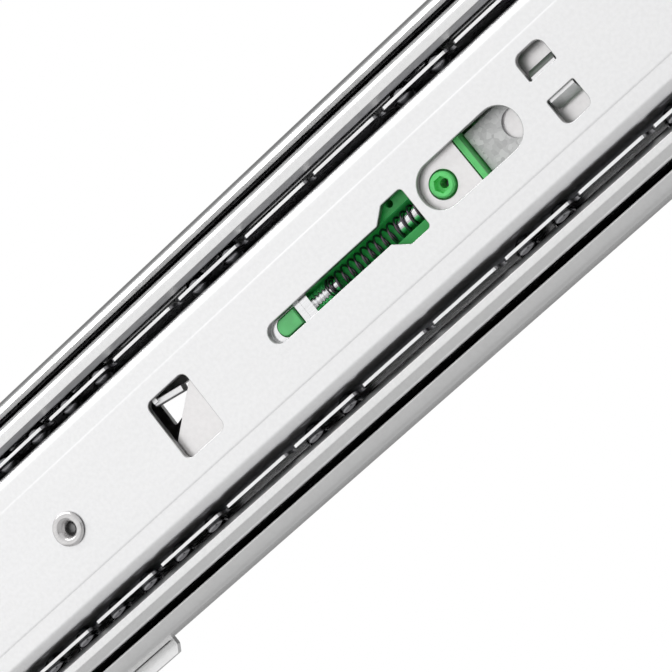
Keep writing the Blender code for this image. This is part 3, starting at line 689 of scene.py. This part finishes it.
def dress_spring_anchor():
    front = KEYHOLE_FRONT + 5.95
    anchor = plate("spring_anchor_block", rectangle(front, front + 2.5, -1.7, 1.7), 8.4, 11.35, pin_steel)
    ribs = [(0, 0), (1.6, 0)]
    for rib in range(4):
        ribs += [(1.6, 2.4 + rib * 0.7), (1.25, 2.6 + rib * 0.7), (1.6, 2.8 + rib * 0.7)]
    post = turned("post", ribs + [(1.6, 5.0), (1.05, 5.1), (1.05, 7.0), (0, 7.0)],
                  place(front + 0.5, SPRING_DEPTH, 0), (1, 0, 0))
    collar = plate("anchor_collar", rounded([(KEYHOLE_FRONT - 0.8, -2.6, 2.4), (front + 1.0, -2.6, 0.3),
                                             (front + 1.0, 2.6, 0.3), (KEYHOLE_FRONT - 0.8, 2.6, 2.4)]),
                   11.08, 11.38)
    tongue_way = plate("tongue_way", rounded([
        (KEYHOLE_FRONT + 1.35, -1.65, 1.5), (KEYHOLE_FRONT + 5.85, -1.65, 0.2),
        (KEYHOLE_FRONT + 5.85, 1.65, 0.2), (KEYHOLE_FRONT + 1.35, 1.65, 1.5)]), 10.0, 11.5)
    shape(anchor, join=[post, collar], cut=[tongue_way])
    break_edges(anchor, 0.08)
    stands_for(anchor, "drawer", "bright_steel", "spring_anchor")


def helix_wire(name, start, close_turns, end, material):
    """Round wire wound about the spring's axis: close turns first, then open ones."""
    close_pitch = SPRING_WIRE + 0.06
    open_turns = (end - start - close_turns * close_pitch) / SPRING_PITCH
    sides = 32
    curve = bpy.data.curves.new(name, 'CURVE')
    curve.dimensions = '3D'
    curve.bevel_depth = SPRING_WIRE / 2 * MM
    curve.bevel_resolution = 3
    curve.use_fill_caps = True
    total = int((close_turns + open_turns) * sides)
    spline = curve.splines.new('POLY')
    spline.points.add(total)
    for i in range(total + 1):
        turn = i / sides
        along = min(turn, close_turns) * close_pitch + max(turn - close_turns, 0) * SPRING_PITCH
        angle = 2 * math.pi * turn
        spot = place(start + along, SPRING_DEPTH + SPRING_RADIUS * math.cos(angle),
                     SPRING_RADIUS * math.sin(angle))
        spline.points[i].co = (*spot, 1)
    spline.use_smooth = True
    wire = bpy.data.objects.new(name, curve)
    bpy.context.scene.collection.objects.link(wire)
    mesh = evaluated_mesh(wire)
    bpy.data.objects.remove(wire)
    coil = bpy.data.objects.new(name, mesh)
    bpy.context.scene.collection.objects.link(coil)
    mesh.materials.append(material)
    mesh.shade_smooth()
    return coil


def dress_spring():
    coil = helix_wire("closing_spring_wire", KEYHOLE_FRONT + 11.75, 1, KEYHOLE_REAR + 0.3, spring_steel)
    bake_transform(coil)
    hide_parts("closing_spring")


def dress_carriage():
    front = SLOT_FRONT - 0.9
    rear = BOSS_X + 6.3
    carriage = plate("carriage_moulded", rectangle(front, rear, -8.6, 8.6, 0.6), 7.8, 9.9,
                     light_green_plastic)
    rib = plate("rib", rectangle(rear - 0.95, rear, -8.0, 8.0), 9.5, 10.9)
    boss = turned("boss", [(0, -0.5), (2.0, -0.5), (2.0, 1.75), (1.75, 2.0), (0, 2.0)],
                  place(BOSS_X, 9.9, 0), (0, -1, 0))
    arm = plate("arm", rectangle(rear - 4, rear, 5.0, 8.6), 5.9, 8.0)
    shape(carriage, join=[rib, boss, arm])
    recess = plate("recess", circle(BOSS_X, 0, 1.35, 6), 10.7, 13.0)
    bore = plate("bore", circle(BOSS_X + 0.15, 0.1, 0.75), 7.0, 13.0)
    shape(carriage, cut=[recess, bore])
    break_edges(carriage, 0.12)
    stands_for(carriage, "carriage", "light_green_plastic", "carriage")

    catch = plate("catch_plate_blanked", rectangle(front, BOSS_X + 5.2, -7.4, 7.4, 0.5), 10.2, 11.1,
                  bright_plate)
    shape(catch, cut=[plate("hole", circle(BOSS_X, 0, 2.3), 9.0, 13.0)])
    break_edges(catch, 0.08)
    stands_for(catch, "carriage", "bright_steel", "catch_plate")

    bar = plate("pull_bar_blanked", rectangle(SLOT_FRONT + 0.8, STRIKER_X - 15, -4.0, 4.0, 0.8), 6.2, 7.4,
                mottled_plate)
    pad = plate("pad", rectangle(BOSS_X + 6.6, UNIT_X + 46.6, -3.95, 3.95), 6.8, 8.8)
    shape(bar, join=[pad], cut=[plate("pocket", circle(POCKET_X, 0, POCKET_RADIUS), POCKET_FLOOR, 10.0)])
    # The pocket's floor takes the bright plate. Its side wall takes the dark cage steel as painted shade
    # round the pocket.
    bar.data.materials.append(bright_plate)
    bar.data.materials.append(cage_steel)
    pocket_centre = place(POCKET_X, 8.45, 0)
    for face in bar.data.polygons:
        if face.normal.y < -0.5 and abs(face.center.y + POCKET_FLOOR * MM) < 0.05 * MM:
            face.material_index = 1
        elif abs(face.normal.y) < 0.5 and (face.center - pocket_centre).length < 2.45 * MM:
            face.material_index = 2
    break_edges(bar, 0.08)
    stands_for(bar, "carriage", "zinc_steel", "pull_bar")


def dress_release_lever():
    left, right = WINDOW[:2]
    outline = rounded([(RIVET_X - 4.2, 2.6, 2.5), (RIVET_X - 4.2, -4.4, 2.5), (RIVET_X + 6.0, -8.8, 3.0),
                       (right + 12.6, -8.8, 1.2), (right + 12.6, 7.2, 1.2), (right + 3.2, 7.2, 1.0),
                       (left - 0.5, -2.0, 0.3), (left - 0.5, -6.0, 0.6), (RIVET_X + 6.2, -5.8, 2.0),
                       (RIVET_X + 4.2, 2.6, 2.5)])
    lever = plate("release_lever_blanked", outline, 10.2, 11.1, bright_plate)
    shape(lever, cut=[plate("hole", circle(RIVET_X, RIVET_HEIGHT, 1.75), 9.0, 13.0)])
    break_edges(lever, 0.08)
    stands_for(lever, "lever", "bright_steel", "release_lever")


def dress_release_rivet():
    rivet = turned("release_rivet_rolled", [
        (0, -3.5), (3.0, -3.5), (3.0, -2.85), (1.55, -2.85), (1.55, 0.15), (2.75, 0.15), (2.75, 0.35),
        (2.6, 0.48), (2.4, 0.55), (2.0, 0.58), (1.7, 0.52), (1.5, 0.35), (1.3, 0.1), (0.95, -0.4),
        (0.75, -0.8), (0.75, -1.5), (0, -1.5)], place(RIVET_X, 12.75, RIVET_HEIGHT), (0, -1, 0), rivet_steel)
    rivet.data.materials.append(painted_shade_wall)
    # Faces in the rivet's bore take the dark steel: painted shade in the hole.
    for face in rivet.data.polygons:
        if (face.center - place(RIVET_X, 11.5, RIVET_HEIGHT)).length < 1.15 * MM:
            face.material_index = 1
    rivet.data.shade_smooth()
    rivet.data.set_sharp_from_angle(angle=math.radians(50))
    stands_for(rivet, "drawer", "bright_steel", "release_rivet")


def polish_carried_nodes():
    """CAD nodes whose shape is right keep it and get a finished material."""
    for node, material in (("spring_pin", pin_steel), ("latch_fork", green_plastic),
                           ("damper_cylinder", damper_steel), ("damper_cap", black_plastic),
                           ("damper_rod", pin_steel), ("damper_piston", black_plastic),
                           ("unit_bracket", bright_plate), ("striker", pin_steel),
                           ("rear_bumper", black_plastic), ("front_bumper", black_plastic)):
        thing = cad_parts[node]
        for slot in thing.material_slots:
            slot.material = material


# ---------------------------------------------------------------- camera, light and floor

VIEW_YAW = math.radians(20)
VIEW_TILT = math.radians(-10)
SLIDE_SLOPE = math.radians(42.1)
VIEW_DISTANCE = 452.0
VIEW_TARGET = (UNIT_X + 0.6, 12.7, -6.45)


def view_direction():
    """From the target to the camera."""
    return Vector((math.sin(VIEW_YAW) * math.cos(VIEW_TILT), -math.cos(VIEW_YAW) * math.cos(VIEW_TILT),
                   math.sin(VIEW_TILT)))


def set_camera():
    """Close view of the drawer side from slightly below, with the slide running up to the right."""
    camera = bpy.data.objects.new("camera", bpy.data.cameras.new("camera"))
    bpy.context.scene.collection.objects.link(camera)
    camera.data.sensor_width = 36
    camera.data.lens = 160
    camera.data.clip_start = 0.01
    away = view_direction()
    level_right = Vector((0, 0, 1)).cross(away).normalized()
    level_up = away.cross(level_right)
    along = Vector((1, 0, 0))
    roll = math.atan2(along.dot(level_up), along.dot(level_right)) - SLIDE_SLOPE
    right = level_right * math.cos(roll) + level_up * math.sin(roll)
    up = away.cross(right)
    camera.matrix_world = Matrix.Translation(place(*VIEW_TARGET) + away * VIEW_DISTANCE * MM) @ Matrix(
        (right, up, away)).transposed().to_4x4()
    bpy.context.scene.camera = camera


def add_softbox(name, position, target, size, watts):
    light = bpy.data.lights.new(name, 'AREA')
    light.shape = 'RECTANGLE'
    light.size, light.size_y = size
    light.energy = watts
    lamp = bpy.data.objects.new(name, light)
    bpy.context.scene.collection.objects.link(lamp)
    lamp.location = position
    lamp.rotation_euler = (Vector(target) - Vector(position)).to_track_quat('-Z', 'Y').to_euler()


def multiply(tree, first, second):
    node = tree.nodes.new("ShaderNodeMath")
    node.operation = 'MULTIPLY'
    tree.links.new(first, node.inputs[0])
    tree.links.new(second, node.inputs[1])
    return node.outputs["Value"]


def set_world():
    """Studio surround graded by direction, and a white backdrop that only camera rays see."""
    world = bpy.data.worlds.new("studio")
    bpy.context.scene.world = world
    world.use_nodes = True
    tree = world.node_tree
    tree.nodes.clear()
    coordinates = tree.nodes.new("ShaderNodeTexCoord")
    split = tree.nodes.new("ShaderNodeSeparateXYZ")
    tree.links.new(coordinates.outputs["Generated"], split.inputs["Vector"])

    front = map_range(tree, split.outputs["Y"], 0.35, -0.45, 0.30, 1.2)
    front.interpolation_type = 'SMOOTHSTEP'
    rise = map_range(tree, split.outputs["Z"], -0.65, -0.05, 0.3, 1.0)
    side = map_range(tree, split.outputs["X"], -0.6, 0.3, 1.05, 0.78)
    product = multiply(tree, front.outputs["Result"], rise.outputs["Result"])
    sided = multiply(tree, product, side.outputs["Result"])

    # A dark patch of the surround in one fixed direction, which the balls mirror.
    toward_camera = tree.nodes.new("ShaderNodeVectorMath")
    toward_camera.operation = 'DOT_PRODUCT'
    toward_camera.inputs[1].default_value = view_direction()
    tree.links.new(coordinates.outputs["Generated"], toward_camera.inputs[0])
    opening = map_range(tree, toward_camera.outputs["Value"], 0.992, 0.965, 0.15, 1.0)
    shaded = multiply(tree, sided, opening.outputs["Result"])

    surround = tree.nodes.new("ShaderNodeBackground")
    tree.links.new(shaded, surround.inputs["Strength"])
    backdrop = tree.nodes.new("ShaderNodeBackground")
    backdrop.inputs["Color"].default_value = (1, 1, 1, 1)
    backdrop.inputs["Strength"].default_value = 1.0
    paths = tree.nodes.new("ShaderNodeLightPath")
    mix = tree.nodes.new("ShaderNodeMixShader")
    output = tree.nodes.new("ShaderNodeOutputWorld")
    tree.links.new(paths.outputs["Is Camera Ray"], mix.inputs["Fac"])
    tree.links.new(surround.outputs["Background"], mix.inputs[1])
    tree.links.new(backdrop.outputs["Background"], mix.inputs[2])
    tree.links.new(mix.outputs["Shader"], output.inputs["Surface"])


def set_stage():
    floor_material = Shader("floor", (0.68, 0.68, 0.68), 0.8, 0.0)
    floor_material.vary_colour(floor_material.noise(3.0), 0.01)
    bm = bmesh.new()
    bmesh.ops.create_grid(bm, x_segments=1, y_segments=1, size=1.5)
    floor = finish_mesh(bm, "floor", floor_material.material)
    floor.location = (0, 0, -0.25)
    add_softbox("top_softbox", (-0.1, -0.55, 1.1), (0, 0, 0), (1.2, 0.5), 6.5)
    bpy.context.scene.view_settings.view_transform = 'Standard'


dress_cabinet_member()
dress_intermediate_member()
dress_drawer_member()
dress_cages()
dress_balls("inner", "inner_cage", INNER_BALL, INNER_CAGE_REAR, INNER_PAIRS)
dress_balls("outer", "outer_cage", OUTER_BALL, OUTER_CAGE_REAR, OUTER_PAIRS)
dress_unit_housing()
dress_spring_anchor()
dress_spring()
dress_carriage()
dress_release_lever()
dress_release_rivet()
polish_carried_nodes()
set_camera()
set_world()
set_stage()
